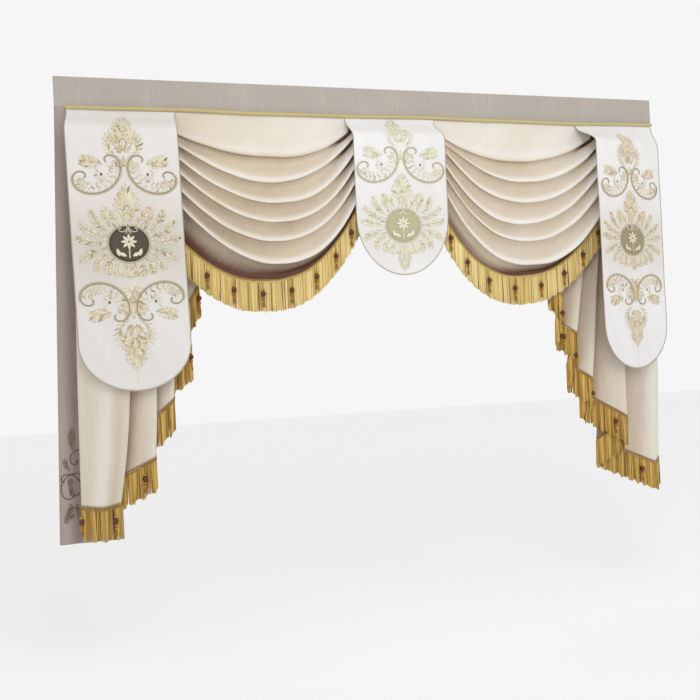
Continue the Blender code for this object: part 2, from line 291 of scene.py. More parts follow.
def drape_point(across, z):
    """A point of the drape, across from 0 to 1, and how far its cloth stands out in a fold there."""
    hang = np.clip((FREE_Z - z) / (FREE_Z - DRAPE_FOOT_Z), 0, 1)
    left = DRAPE_LEFT - DRAPE_FLARE * hang
    wave = (1 + np.sin(2 * pi * DRAPE_WAVES * across + 0.6 * ripple(across * 2, z * 3.2, 3))) / 2
    depth = LAYER["drape"] + DRAPE_DEPTH * wave * ease(0, 0.40, FREE_Z - z)
    return np.stack([left + (DRAPE_RIGHT - left) * across, -depth, z], axis=-1), wave


across, z = np.meshgrid(np.linspace(0, 1, DRAPE_COLUMNS), np.linspace(SEAM_Z, DRAPE_FOOT_Z, DRAPE_ROWS))
drape_points, wave = drape_point(across, z)
drape_cloth = woven("shaded_mauve_drape_cloth", DRAPE_SHADED_CLOTH, 0.0012, 0.8, 0.2, 0.4, slubs=(1.0, 0.25), blotch=0.25)
# Painted shade in the troughs of the waves and a painted highlight on their crests.
drape = cloth_sheet("drape_cloth", drape_points, 0.25 + 0.5 * wave, *DRAPE_FLAT, drape_cloth, "drape_cloth")
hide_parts("side_drape")

# Tails
# Two tails of cream cloth, sewn to the band, each cut with a slanting hem and folded back and forth so that
# the hem climbs in steps towards the window. Each row is an edge or a fold line, from the outer edge inwards.
TAIL_CLOTH = ((118, 82, 54), (196, 178, 156), (228, 223, 212))
FOLD = ("top_x", "mid_x", "hem_x", "hem_z", "depth")
TAILS = {
    "tail_left": (
        (-0.972, -0.982, -0.990, -1.238, 0.050),
        (-0.948, -0.905, -0.930, -1.246, 0.064),
        (-0.925, -0.835, -0.876, -1.234, 0.072),
        (-0.903, -0.868, -0.912, -1.175, 0.044),
        (-0.865, -0.775, -0.776, -1.112, 0.064),
        (-0.843, -0.815, -0.826, -1.040, 0.036),
        (-0.805, -0.724, -0.718, -0.945, 0.058),
        (-0.783, -0.750, -0.762, -0.870, 0.030),
        (-0.745, -0.690, -0.662, -0.800, 0.054),
        (-0.723, -0.708, -0.695, -0.720, 0.026),
        (-0.682, -0.664, -0.636, -0.615, 0.044),
    ),
    "tail_right": (
        (0.948, 0.935, 0.912, -1.250, 0.012),
        (0.930, 0.905, 0.893, -1.268, 0.026),
        (0.885, 0.745, 0.664, -1.168, 0.016),
        (0.863, 0.790, 0.772, -1.100, 0.058),
        (0.825, 0.690, 0.606, -1.000, 0.020),
        (0.803, 0.715, 0.652, -0.965, 0.052),
        (0.768, 0.655, 0.562, -0.905, 0.020),
        (0.748, 0.680, 0.600, -0.810, 0.058),
        (0.718, 0.612, 0.530, -0.760, 0.022),
        (0.700, 0.632, 0.556, -0.680, 0.064),
        (0.672, 0.575, 0.504, -0.625, 0.058),
    ),
}
TAIL_FLAT = {"tail_left": (0.62, 1.16), "tail_right": (0.80, 1.16)}
TURN_WIDE = 0.004
TURN_DEPTH = 0.31
# Painted highlight where a turn comes forward and painted shade where it goes back.
TURN_LIGHT = {"forward": 0.95, "back": 0.30}
PRESSED = 0.34
TAIL_ROWS = 110
TAIL_FINE = 0.006


def soften(points, passes):
    """Rounds the lines that run down a sheet, by drawing each point towards its neighbours in the row."""
    for _ in range(passes):
        points[:, 1:-1] = points[:, 1:-1] * 0.5 + (points[:, :-2] + points[:, 2:]) * 0.25
    return points


def from_seam(points):
    """Adds a first row on the seam, straight over the row where the sheet hangs free."""
    sewn = points[:1].copy()
    sewn[:, :, 2] = SEAM_Z
    return np.concatenate([sewn, points])


def tail_folds(name):
    """The tail's lines with a fuller middle on each face and round turns, and how light the cloth is painted
    there.
    """
    rows = [dict(zip(FOLD, row)) for row in TAILS[name]]

    def between(a, b, share, depth, tone):
        line = {column: a[column] + (b[column] - a[column]) * share for column in FOLD}
        return line | {"depth": depth, "tone": tone}

    def runs_back(a, b):
        return abs(b["hem_x"]) > abs(a["hem_x"])

    def turn(face, ridge, back):
        swing = (back["depth"] - ridge["depth"]) * TURN_DEPTH
        shares = [TURN_WIDE / abs(other["hem_x"] - ridge["hem_x"]) for other in (face, back)]
        light = TURN_LIGHT["forward" if swing < 0 else "back"]
        return [
            between(ridge, face, shares[0], ridge["depth"], light),
            between(ridge, face, 0.0, ridge["depth"] + swing / 2, light - 0.1),
            between(ridge, back, shares[1], ridge["depth"] + swing, 0.10),
        ]

    # Painted highlight on the edges and forward turns, darker in the middle of each face past the first, and
    # deep painted shade where a turn goes back.
    folds = [rows[0] | {"tone": 0.85}]
    for number, row in enumerate(rows[1:], 1):
        before, after = rows[number - 1], rows[min(number + 1, len(rows) - 1)]
        if not runs_back(before, row):
            middle = 0.78 if number == 1 else 0.50
            folds.append(between(before, row, 0.5, (before["depth"] + row["depth"]) / 2 + 0.002, middle))
        if runs_back(row, after):
            folds += turn(before, row, after)
        elif runs_back(before, row):
            folds += turn(after, row, before)[::-1]
        else:
            folds.append(row | {"tone": 0.85})
    return folds


def tail_surface(name):
    """Fine rows of points from the seam to the hem, with the cloth's painted shade and highlight as a fourth
    value.
    """
    folds = tail_folds(name)
    if folds[0]["top_x"] > folds[-1]["top_x"]:
        folds.reverse()
    table = np.array([[fold[column] for column in (*FOLD, "tone")] for fold in folds])
    gaps = np.hypot(np.diff(table[:, 2]), np.diff(table[:, 4]))
    stops = np.concatenate([[0], np.cumsum(gaps)])
    fine = np.linspace(0, stops[-1], int(stops[-1] / TAIL_FINE) + 1)
    top, mid, hem, hem_z, deep, tone = (np.interp(fine, stops, column) for column in table.T)
    rows = []
    for down in np.linspace(0, 1, TAIL_ROWS) ** 1.2:
        x = top * (1 - down) * (1 - 2 * down) + mid * 4 * down * (1 - down) + hem * down * (2 * down - 1)
        z = FREE_Z + (hem_z - FREE_Z) * down
        free = ease(0.02, 0.20, FREE_Z - z)
        grow = PRESSED * free + (1 - PRESSED) * ease(0.50, 0.92, -z)
        soft = ripple(fine * 26, down * 5 + fine * 6, 11) * 0.0022 * ease(0.05, 0.4, down)
        forward = LAYER["tail"] + 0.004 * free + deep * grow + soft
        # Uneven painted shade across the faces.
        painted_light = tone + 0.16 * ripple(fine * 34, down * 2, 17)
        rows.append(np.stack([x, -forward, z, painted_light], axis=-1))
    return from_seam(soften(np.array(rows), 3))


tail_cloth = woven("cream_tail_cloth", TAIL_CLOTH, 0.0010, 0.62, 0.35, 0.30, slubs=(0.5, 0.10), blotch=0.12)
tail_hems = {}
for name, flat in TAIL_FLAT.items():
    surface = tail_surface(name)
    tail_hems[name] = surface[-1, :, :3]
    tail = cloth_sheet(name + "_cloth", surface[:, :, :3], surface[:, :, 3], *flat, tail_cloth, "tail_cloth")
    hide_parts(name)

# Swags
# Two swags in cream velvet, each pleated into the seam at both ends so that six folds hang between two tabs,
# over a shaded facing and the fringed hem. The rows are the folds' ridges from the top down, then the hem.
SWAG_CLOTH = ((88, 50, 30), (214, 199, 175), (238, 236, 232))
RIDGE = ("left_x", "left_bow", "low_x", "low_z", "right_x", "right_bow", "depth", "tuck")
SWAGS = {
    "swag_left": (
        (-0.780, 2.30, -0.392, -0.239, -0.100, 2.30, 0.046, 0.024),
        (-0.800, 1.85, -0.411, -0.317, -0.088, 2.20, 0.056, 0.026),
        (-0.820, 1.80, -0.411, -0.382, -0.077, 2.50, 0.063, 0.027),
        (-0.840, 1.85, -0.411, -0.437, -0.066, 2.55, 0.069, 0.027),
        (-0.860, 1.80, -0.421, -0.496, -0.052, 2.60, 0.074, 0.027),
        (-0.875, 1.82, -0.406, -0.566, -0.040, 2.50, 0.076, 0.040),
        (-0.895, 2.17, -0.450, -0.608, -0.022, 2.50, 0.046, 0.000),
    ),
    "swag_right": (
        (0.100, 2.10, 0.380, -0.240, 0.770, 2.30, 0.046, 0.024),
        (0.090, 2.20, 0.432, -0.308, 0.790, 2.10, 0.056, 0.026),
        (0.078, 2.20, 0.425, -0.378, 0.805, 2.10, 0.063, 0.027),
        (0.066, 2.25, 0.400, -0.447, 0.820, 2.15, 0.069, 0.027),
        (0.052, 2.30, 0.420, -0.504, 0.835, 2.20, 0.074, 0.027),
        (0.040, 2.35, 0.425, -0.583, 0.850, 2.30, 0.076, 0.040),
        (0.022, 2.60, 0.410, -0.610, 0.865, 2.20, 0.046, 0.000),
    ),
}
SWAG_TOP = {"swag_left": (-0.755, -0.118), "swag_right": (0.118, 0.748)}
SWAG_FLAT = {"swag_left": (0.95, 0.80), "swag_right": (0.92, 0.80)}
SWAG_FREE = 0.150
SWAG_LIGHT = {"swag_left": (0.02, 0.24), "swag_right": (0.10, 0.10)}
SWAG_COLUMNS = 200
FOLD_SHARES = (
    0.0, 0.02, 0.045, 0.075, 0.11, 0.15, 0.20, 0.26, 0.33, 0.41, 0.50, 0.59, 0.68, 0.77, 0.86, 0.93,
)


def swag_lines(name, seed):
    """The seam, the ridges and the hem, as x, z, depth and how far the cloth tucks in under them."""
    along = np.linspace(0, 1, SWAG_COLUMNS)
    away = np.abs(1 - 2 * along)
    left, right = SWAG_TOP[name]
    lines = [[left + (right - left) * along, np.full_like(along, FREE_Z), 0 * along, 0 * along]]
    for number, values in enumerate(SWAGS[name]):
        ridge = dict(zip(RIDGE, values))
        end_x = np.where(along < 0.5, ridge["left_x"], ridge["right_x"])
        bow = np.where(along < 0.5, ridge["left_bow"], ridge["right_bow"])
        x = ridge["low_x"] + (end_x - ridge["low_x"]) * away
        z = ridge["low_z"] + (FREE_Z - ridge["low_z"]) * away**bow
        z = z + 0.0028 * ripple(along * 7, number * 2.3, seed) * (1 - away**4)
        lines.append([x, z, ridge["depth"] + 0 * x, ridge["tuck"] * (1 - 0.45 * away**2)])
    return np.array(lines)


def swag_tone(kind, share, along):
    """How light the cloth is painted, at a share of the way down from one ridge to the next: painted shade
    and highlight.
    """
    if kind == "flat":
        # A painted shadow in the pleat near the right-hand end of the top panel.
        pleat_shadow = 0.950 - 0.045 * share
        return 0.68 + 0.24 * ease(0.7, 0.95, share) - ease(pleat_shadow, pleat_shadow + 0.012, along)
    if kind == "facing":
        # The facing is painted in shade, darker towards the hem and the right-hand end.
        return 0.46 - 0.46 * ease(0.0, 0.85, share) - 0.26 * ease(0.30, 0.6, along)
    # Painted shade just under each ridge and a painted highlight where the cloth rolls over the next.
    fold = 0.47 + 0.58 * ease(0.70, 0.90, share) - 0.50 * (1 - ease(0.0, 0.09, share))
    # Towards the right-hand end, painted dark slits under the ridges.
    slit_shade = 0.45 * ease(0.30, 0.55, share) - 1.5 * (1 - ease(0.10, 0.32, share))
    return fold + ease(0.76, 0.96, along) * slit_shade


def swag_surface(name, seed):
    """Rows of points from the seam to the hem. Under each ridge the cloth turns in, then swells out again."""
    lines = swag_lines(name, seed)
    along = np.linspace(0, 1, SWAG_COLUMNS)
    level, slope = SWAG_LIGHT[name]
    last = len(lines) - 2
    rows = []
    for number in range(last + 1):
        kind = {0: "flat", last: "facing"}.get(number, "fold")
        for share in FOLD_SHARES:
            x, z, deep, tuck = lines[number] + (lines[number + 1] - lines[number]) * share
            inward = ease(0, 0.17, share) * (1 - ease(0.17, 1.0, share)) * (number > 0)
            lip = 0.010 * np.sin(pi * min(share / 0.2, 1.0)) * (number > 0)
            swell = ease(0, SWAG_FREE, FREE_Z - z)
            soft = 0.0016 * ripple(along * 16, number * 3 + share * 2, seed + 5) * swell
            forward = LAYER["swag"] + (deep - tuck * inward) * swell + soft
            # Painted light across the swag: lighter or darker overall and towards one end.
            tone = swag_tone(kind, share, along) + level + slope * (along - 0.5)
            tone = tone + 0.06 * ripple(along * 9, share * 2 + number, seed + 9)
            rows.append(np.stack([x, -forward, z + lip * swell, tone], axis=-1))
    x, z, deep, _ = lines[-1]
    forward = LAYER["swag"] + deep * ease(0, SWAG_FREE, FREE_Z - z)
    # The hem row is painted in deep shade.
    rows.append(np.stack([x, -forward, z, np.full_like(x, 0.02)], axis=-1))
    points = np.array(rows)
    for _ in range(2):
        points[1:-1] = points[1:-1] * 0.5 + (points[:-2] + points[2:]) * 0.25
    return from_seam(points)


swag_cloth = woven("cream_swag_velvet", SWAG_CLOTH, 0.0010, 0.55, 0.15, 0.22, slubs=(0.4, 0.05), blotch=0.10)
swag_hems = {}
for seed, (name, flat) in enumerate(SWAG_FLAT.items(), 20):
    surface = swag_surface(name, seed)
    swag_hems[name] = surface[-1, :, :3]
    swag = cloth_sheet(name + "_cloth", surface[:, :, :3], surface[:, :, 3], *flat, swag_cloth, "swag_cloth")
    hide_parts(name)

# Tabs
# Three tabs of white satin on interlining with round lower ends, sewn to the band over the ends of the swags.
# The folds behind push them forward. The finest stitching tints the cloth round the medallion like a haze.
TAB_CLOTH = ((170, 156, 142), (212, 205, 195), (234, 233, 233))
TABS = {
    "tab_left": {
        "seam_x": -0.834, "foot_x": -0.818, "half": 0.153, "round_z": -0.780, "foot_z": -0.916,
        "left_push": 0.088, "right_push": 0.092, "light": 0.76, "haze": 0.42, "work_z": -0.500,
    },
    "tab_centre": {
        "seam_x": -0.010, "foot_x": -0.012, "half": 0.148, "round_z": -0.425, "foot_z": -0.604,
        "left_push": 0.093, "right_push": 0.093, "light": 0.94, "haze": 0.22, "work_z": -0.452,
    },
    "tab_right": {
        "seam_x": 0.800, "foot_x": 0.807, "half": 0.147, "round_z": -0.785, "foot_z": -0.934,
        "left_push": 0.118, "right_push": 0.034, "light": 0.92, "haze": 0.38, "work_z": -0.502,
    },
}
TAB_FLAT = {"tab_left": (0.306, 0.83), "tab_centre": (0.296, 0.52), "tab_right": (0.294, 0.85)}
TAB_PUSH_FALL = 0.084
HAZE_HIGH = 0.12
TAB_COLUMNS = 64
TAB_ROWS = 120


def tab_point(name, across, z):
    """A point in the middle of a tab's cloth: across from -1 to 1 between its edges, at height z."""
    size = TABS[name]
    centre = size["seam_x"] + (size["foot_x"] - size["seam_x"]) * (FREE_Z - z) / (FREE_Z - size["foot_z"])
    push = size["left_push"] + (size["right_push"] - size["left_push"]) * (across + 1) / 2
    soft = 0.0016 * ripple(across * 2.2, z * 11, 7) * ease(0.0, 0.25, FREE_Z - z)
    forward = LAYER["tab"] + push * ease(0, TAB_PUSH_FALL, FREE_Z - z) + soft
    return np.stack([centre + size["half"] * across, -forward, z + 0 * across], axis=-1)


tab_cloth = woven("white_tab_satin", TAB_CLOTH, 0.0008, 0.42, 0.25, 0.20, slubs=(0.4, 0.04), blotch=0.10)
tab_edges = {}
for name, size in TABS.items():
    angle, down = np.meshgrid(np.linspace(0, pi, TAB_COLUMNS), np.linspace(0, 1, TAB_ROWS) ** 1.2)
    across = -np.cos(angle)
    foot = size["round_z"] - (size["round_z"] - size["foot_z"]) * np.sin(angle)
    z = FREE_Z + (foot - FREE_Z) * down
    points = from_seam(tab_point(name, across, z))
    haze = size["haze"] * np.exp(-0.5 * across**2 - ((z - size["work_z"]) / HAZE_HIGH) ** 2)
    tone = size["light"] - haze + 0.08 * ripple(across * 3, z * 9, 2)
    tone = np.concatenate([tone[:1], tone])
    tab_edges[name] = np.concatenate([points[1:, 0], points[-1, 1:-1], points[:0:-1, -1]]) - (0, 0.0008, 0)
    cloth_sheet(name + "_cloth", points, tone, *TAB_FLAT[name], tab_cloth, "tab_cloth")
    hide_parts(name)

# Fringes
# Gold bullion fringe sewn along the hems of the swags and tails. Twisted yarns hang close together in three
# rows from a narrow heading, which has a looped upper edge and covers the hem.
FRINGE_GOLD = ((96, 62, 16), (226, 191, 96), (250, 236, 178))
FRINGE_DARK = ((66, 40, 10), (176, 132, 42), (226, 190, 98))
YARN_PITCH = 0.0027
YARN_RADIUS = 0.0014
YARN_LONG = 0.088
YARN_TURNS = 190
GATHER = {"swag": 0.36, "tail": 1.0}
HEADING_STEP = 0.0012
HEADING_LOOP = 0.0062


def yarn_finish(name, tones, turns, metal=0.15):
    """Shiny rayon yarn. Each yarn has its own "tone", and a slanting ridge stands for its twist."""
    finish = finish_of(name, {"Roughness": 0.38, "Sheen Weight": 0.25, "Metallic": metal})
    nodes, links = finish.node_tree.nodes, finish.node_tree.links
    lay = nodes.new("ShaderNodeAttribute")
    lay.attribute_name = "tone"
    tone_ramp(finish.node_tree, lay.outputs["Fac"], tones)
    twist = nodes.new("ShaderNodeTexWave")
    twist.bands_direction = "DIAGONAL"
    twist.inputs["Scale"].default_value = turns
    links.new(nodes.new("ShaderNodeTexCoord").outputs["Object"], twist.inputs["Vector"])
    emboss(finish.node_tree, twist.outputs["Fac"], 0.5, 0.0006)
    return finish


def evenly(line, pitch):
    """Points along a line, about a pitch apart, and the direction of the line in plan at each."""
    runs = np.concatenate([[0], np.cumsum(np.linalg.norm(np.diff(line, axis=0), axis=1))])
    ways = np.linspace(0, runs[-1], int(runs[-1] / pitch) + 1)
    points = np.stack([np.interp(ways, runs, line[:, axis]) for axis in range(3)], axis=-1)
    run = np.gradient(points, axis=0)[:, :2]
    length = np.maximum(np.linalg.norm(run, axis=1, keepdims=True), 1e-6)
    return points, run / length


def pick(piece):
    """Makes a piece the only one selected."""
    bpy.ops.object.select_all(action="DESELECT")
    piece.select_set(True)
    bpy.context.view_layer.objects.active = piece


def copies(name, pattern, shapes, tones, finish):
    """One mesh of many copies of a pattern piece, each given the points that its vertices move to."""
    count, size = shapes.shape[:2]
    pick(pattern)
    bpy.ops.object.mode_set(mode="EDIT")
    bpy.ops.mesh.select_all(action="SELECT")
    bpy.ops.mesh.quads_convert_to_tris()
    bpy.ops.object.mode_set(mode="OBJECT")
    faces = np.array([list(face.vertices) for face in pattern.data.polygons])
    bpy.data.objects.remove(pattern)
    mesh = bpy.data.meshes.new(name)
    turned = (faces[None] + (np.arange(count) * size)[:, None, None]).reshape(-1, faces.shape[1])
    mesh.from_pydata(shapes.reshape(-1, 3).tolist(), [], turned.tolist())
    mesh.shade_smooth()
    piece = bpy.data.objects.new(name, mesh)
    bpy.context.scene.collection.objects.link(piece)
    set_tone(piece, np.repeat(tones, size))
    dress(piece, finish)
    return piece


def yarn_pattern():
    """A thin prism with three cuts across it, open at its ends: the heading covers the upper one."""
    bpy.ops.mesh.primitive_cylinder_add(vertices=5, radius=1, depth=1, end_fill_type="NOTHING")
    piece = bpy.context.object
    bpy.ops.object.mode_set(mode="EDIT")
    for height in (-0.25, 0.0, 0.25):
        bpy.ops.mesh.select_all(action="SELECT")
        bpy.ops.mesh.bisect(plane_co=(0, 0, height), plane_no=(0, 0, 1))
    bpy.ops.object.mode_set(mode="OBJECT")
    return piece


fringe_finish = {
    "swag": yarn_finish("light_gold_yarn", FRINGE_GOLD, YARN_TURNS),
    "tail": yarn_finish("dark_gold_yarn", FRINGE_DARK, YARN_TURNS),
}


def hang_fringe(name, line, finish, gather, seed):
    """The yarns of one fringe, in three rows that lean and gather into locks, more so on the tails."""
    draw = np.random.default_rng(seed)
    pattern = yarn_pattern()
    model = points_of(pattern)
    shapes, tones = [], []
    for layer in (-1, 0, 1):
        roots, run = evenly(line, YARN_PITCH)
        roots = roots + np.concatenate([run, 0 * run[:, :1]], axis=1) * YARN_PITCH * layer / 3
        order = np.arange(len(roots))
        lock = np.sin(order * 0.55 + 1.3 * np.sin(order * 0.083)) + 0.5 * np.sin(order * 1.31 + seed)
        for number, (root, (run_x, run_y)) in enumerate(zip(roots, run)):
            long = YARN_LONG + 0.003 * gather * lock[number] + draw.normal(0, 0.0014)
            down = 0.5 - model[:, 2]
            radius = YARN_RADIUS * (0.9 + 0.35 * down - 0.45 * down**4) * draw.uniform(0.85, 1.15)
            lean = (0.0035 * gather * np.cos(number * 0.55) + draw.normal(0, 0.0009)) * down
            swing = 0.0022 * gather * lock[number] + draw.normal(0, 0.0008)
            out = layer * 0.0017 + swing * down * (layer == 1)
            x = root[0] + model[:, 0] * radius + run_x * lean + run_y * out
            y = root[1] + model[:, 1] * radius + run_y * lean - run_x * out
            shapes.append(np.stack([x, y, root[2] - 0.004 - long * down], axis=-1))
            # Each yarn's tone at random, with painted light on the locks that swing forward and one yarn in
            # ten painted dark as shade between the yarns.
            shade = 0.70 + 0.16 * gather * lock[number] + draw.normal(0, 0.15)
            tones.append(np.clip(shade - 0.5 * (draw.random() < 0.10), 0, 1))
    return copies(name + "_yarns", pattern, np.array(shapes), np.array(tones), finish)


def cord(name, paths, radius, finish, tone=0.6, sides=1):
    """A round cord along one or more lines of points."""
    data = bpy.data.curves.new(name, "CURVE")
    data.dimensions = "3D"
    data.bevel_depth = radius
    data.bevel_resolution = sides
    data.use_fill_caps = True
    for path in paths:
        spline = data.splines.new("POLY")
        spline.points.add(len(path) - 1)
        spline.points.foreach_set("co", np.concatenate([path, np.ones((len(path), 1))], axis=1).ravel())
    piece = bpy.data.objects.new(name, data)
    bpy.context.scene.collection.objects.link(piece)
    pick(piece)
    bpy.ops.object.convert(target="MESH")
    piece = bpy.context.object
    set_tone(piece, np.full(len(piece.data.vertices), tone))
    piece.data.shade_smooth()
    dress(piece, finish)
    return piece


def fringe_heading(name, line, finish):
    """The heading: two straight cords and between them a cord in small loops that stand up over the hem."""
    points, run = evenly(line, HEADING_STEP)
    turn = np.arange(len(points)) * HEADING_STEP * 2 * pi / HEADING_LOOP
    level = np.zeros(len(points))
    out = np.stack([run[:, 1], -run[:, 0], level], axis=-1)
    swing = np.stack([*(run.T * 0.0028 * np.sin(turn)), 0.0020 - 0.0042 * np.cos(turn)], axis=-1)
    paths = [points + out * 0.0022 + swing]
    paths += [points + out * 0.0026 + (0, 0, height) for height in (-0.0028, -0.0062)]
    return cord(name + "_heading", paths, 0.0010, finish, 0.46, 0)


SWAG_FRINGE_ENDS = {"swag_left": (0.085, 0.925), "swag_right": (0.075, 0.915)}
fringe_lines = {}
for name, line in swag_hems.items():
    first, last = (round(share * (len(line) - 1)) for share in SWAG_FRINGE_ENDS[name])
    fringe_lines["fringe_" + name] = line[first : last + 1]
for name, line in tail_hems.items():
    fringe_lines["fringe_" + name] = line
for seed, (name, line) in enumerate(fringe_lines.items(), 40):
    kind = name.split("_")[1]
    yarns = hang_fringe(name, line, fringe_finish[kind], GATHER[kind], seed)
    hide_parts(name)
    fringe_heading(name, line, fringe_finish[kind])

# Bead drops
# Strings of glass and gilt beads that hang in front of the yarns, tied to the fringe's heading: a gilt ball,
# a large brown glass bead, an amber one and a small gilt ball, over a short tuft.
BEAD_PITCH = 0.088
BEAD_OUT = 0.0090
BEAD_CLEAR = 0.02
BEADS = (
    ("gilt", -0.0280, 0.0042), ("dark", -0.0395, 0.0080),
    ("amber", -0.0525, 0.0056), ("gilt", -0.0615, 0.0036),
)
STRING_ENDS = (-0.003, -0.025)
TUFT_ENDS = (-0.064, -0.080)
TUFT_SPREAD = (-0.002, -0.001, 0.0, 0.001, 0.002)
BEAD_LOOKS = {
    "gilt": ((196, 152, 62), 0.9, 0.25),
    "dark": ((86, 46, 22), 0.1, 0.18),
    "amber": ((164, 98, 36), 0.2, 0.2),
}


def bead_places(line):
    """Where the drops hang: only where the hem runs its own way, with no other fold of it further forward."""
    points, run = evenly(line, BEAD_PITCH)
    shown = (run[:, 0] > 0.75) == (line[-1, 0] > line[0, 0])
    shown &= np.abs(run[:, 0]) > 0.75
    places = points[shown] - (0, BEAD_OUT, 0)
    near = [np.abs(line[:, 0] - place[0]) < BEAD_CLEAR for place in places]
    return [place for place, beside in zip(places, near) if not np.any(line[beside, 1] < place[1])]


def ball_pattern(segments, rings):
    """The ball that beads and padded stitches are copies of."""
    bpy.ops.mesh.primitive_uv_sphere_add(segments=segments, ring_count=rings, radius=1)
    return bpy.context.object


bead_finish = {}
for kind, (colour, metal, rough) in BEAD_LOOKS.items():
    look = {"Base Color": from_screen(colour), "Metallic": metal, "Roughness": rough}
    bead_finish[kind] = finish_of(kind + "_bead", look)
for name, line in fringe_lines.items():
    places = bead_places(line)
    for kind, look in bead_finish.items():
        pattern = ball_pattern(14, 9)
        ball = points_of(pattern)
        shapes = np.array([place + (0, 0, z) + ball * radius
                           for place in places for bead, z, radius in BEADS if bead == kind])
        copies(name + "_" + kind + "_beads", pattern, shapes, np.zeros(len(shapes)), look)
    drops = [np.array([place + (0, 0, z) for z in STRING_ENDS]) for place in places]
    drops += [np.array([place + (spread, 0, TUFT_ENDS[0]), place + (spread * 2.4, 0, TUFT_ENDS[1])])
              for place in places for spread in TUFT_SPREAD]
    cord(name + "_bead_strings", drops, 0.0009, fringe_finish["tail"], 0.35, 0)

# Gimp braid
# A plaited braid of three gold cords, sewn by hand over the seam where everything joins the band, so that it
# wavers a little.
BRAID_GOLD = ((126, 108, 60), (194, 180, 116), (230, 218, 164))
BRAID_LEFT = -0.988
BRAID_RIGHT = 0.952
BRAID_PITCH = 0.014
BRAID_Z = -0.0915
BRAID_CORD = 0.0021

braid_gold = yarn_finish("gold_braid_cord", BRAID_GOLD, 150)
x = np.arange(BRAID_LEFT, BRAID_RIGHT, BRAID_PITCH / 8)
waver = 0.0016 * np.sin(x * 7.3 + 0.6) + 0.0009 * np.sin(x * 17.0)
plaits = []
for strand in range(3):
    turn = x * 2 * pi / BRAID_PITCH + strand * 2 * pi / 3
    y = -(LAYER["braid"] + 0.0022) - 0.0010 * np.sin(2 * turn)
    plaits.append(np.stack([x, y, BRAID_Z + waver + 0.0036 * np.sin(turn)], axis=-1))
braid = cord("plaited_braid", plaits, BRAID_CORD, braid_gold, 0.6)
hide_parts("gimp_braid")

# Tab embroidery
# Raised work in rayon thread on the satin: scrolls in couched cord, fronds and palmettes in satin stitch, and
# a round medallion with a star flower. It is old ornament, the same on each tab in three tones.
THREADS = {
    "tab_left": ((118, 98, 56), (198, 182, 142), (232, 222, 198)),
    "tab_centre": ((150, 142, 96), (212, 207, 172), (233, 230, 208)),
    "tab_right": ((146, 124, 82), (202, 182, 142), (230, 218, 192)),
}
MEDALLION = {"tab_left": (66, 55, 33), "tab_centre": (184, 182, 140), "tab_right": (150, 138, 100)}
MEDALLION_SHADES = (0.85, 1.0, 1.12)
MEDALLION_SIZE = (0.0570, 0.0530)
EDGING = ((146, 130, 102), (184, 172, 150), (214, 206, 192))
CLOTH_FACE = 0.0006
STITCH_HIGH = 0.0007
CORD_RADIUS = 0.0022
FINE_CORD = 0.0008
THREAD_TURNS = 260
SCROLL_TURNS = (20, 180, 225, 290, 340, 400, 450, 540, 700)
SCROLL_BENDS = (0.006, 0.018, 0.029, 0.082, 0.082, 0.046, 0.031, 0.017, 0.005)
SCROLL_STEP = 5
SCROLL_FOOT = 0.093
WREATH = (
    (84, 0.046, -0.2), (66, 0.052, -0.7), (49, 0.060, 0.8), (33, 0.077, 0.7), (17, 0.084, 0.5),
    (2, 0.079, 0.3), (-13, 0.078, -0.4), (-28, 0.060, -0.8), (-45, 0.044, -0.9), (-64, 0.035, -0.6),
    (-84, 0.030, 0.2),
)
DESIGNS = {
    "tab_left": {
        "scrolls": ((-0.358, 1, 0.93), (-0.610, -1, 0.93)),
        "finials": ((-0.230, 1, 1.12), (-0.742, -1, 1.15)),
        "palmettes": (
            (-0.408, 0.062, 1), (-0.388, 0.048, 1), (-0.366, 0.036, 1), (-0.572, 0.030, -1),
            (-0.622, 0.050, -1), (-0.655, 0.056, -1), (-0.290, 0.040, 1),
        ),
        "reach": 1.0,
    },
    "tab_centre": {
        "scrolls": ((-0.318, 1, 0.92),),
        "finials": ((-0.187, 1, 0.92), (-0.548, -1, 0.42)),
        "palmettes": ((-0.362, 0.058, 1), (-0.342, 0.046, 1), (-0.322, 0.032, 1), (-0.255, 0.036, 1)),
        "reach": 0.88,
    },
    "tab_right": {
        "scrolls": ((-0.358, 1, 0.85), (-0.620, -1, 0.85)),
        "finials": ((-0.234, 1, 1.08), (-0.750, -1, 1.10)),
        "palmettes": (
            (-0.408, 0.060, 1), (-0.388, 0.046, 1), (-0.366, 0.034, 1), (-0.576, 0.030, -1),
            (-0.632, 0.046, -1), (-0.662, 0.052, -1), (-0.290, 0.036, 1),
        ),
        "reach": 0.90,
    },
}


def on_tab(name, flat, lift):
    """Points given as metres from the tab's centre line and as height, laid on the face of its cloth."""
    flat = np.asarray(flat)
    points = tab_point(name, flat[:, 0] / TABS[name]["half"], flat[:, 1])
    points[:, 1] -= CLOTH_FACE + lift
    return points


def scroll(foot, side, rise, size, away=0.0, turns=SCROLL_TURNS):
    """A C-scroll through its foot: one long sweep that winds in at both ends, further at the inner one."""
    heading = np.arange(SCROLL_TURNS[0], SCROLL_TURNS[-1] + 1, SCROLL_STEP)
    bend = np.exp(np.interp(heading, SCROLL_TURNS, np.log(SCROLL_BENDS)))
    ways = np.radians(heading)
    steps = np.stack([np.cos(ways), np.sin(ways)], axis=-1) * bend[:, None] * radians(SCROLL_STEP)
    line = np.cumsum(steps, axis=0)
    line = (line - line[np.argmin(line[:, 1])]) * (1.08, 1.0) * size
    line = line + np.stack([np.sin(ways), -np.cos(ways)], axis=-1) * away
    kept = line[(heading >= turns[0]) & (heading <= turns[-1])]
    return np.stack([foot[0] + side * kept[:, 0], foot[1] + rise * kept[:, 1]], axis=-1)


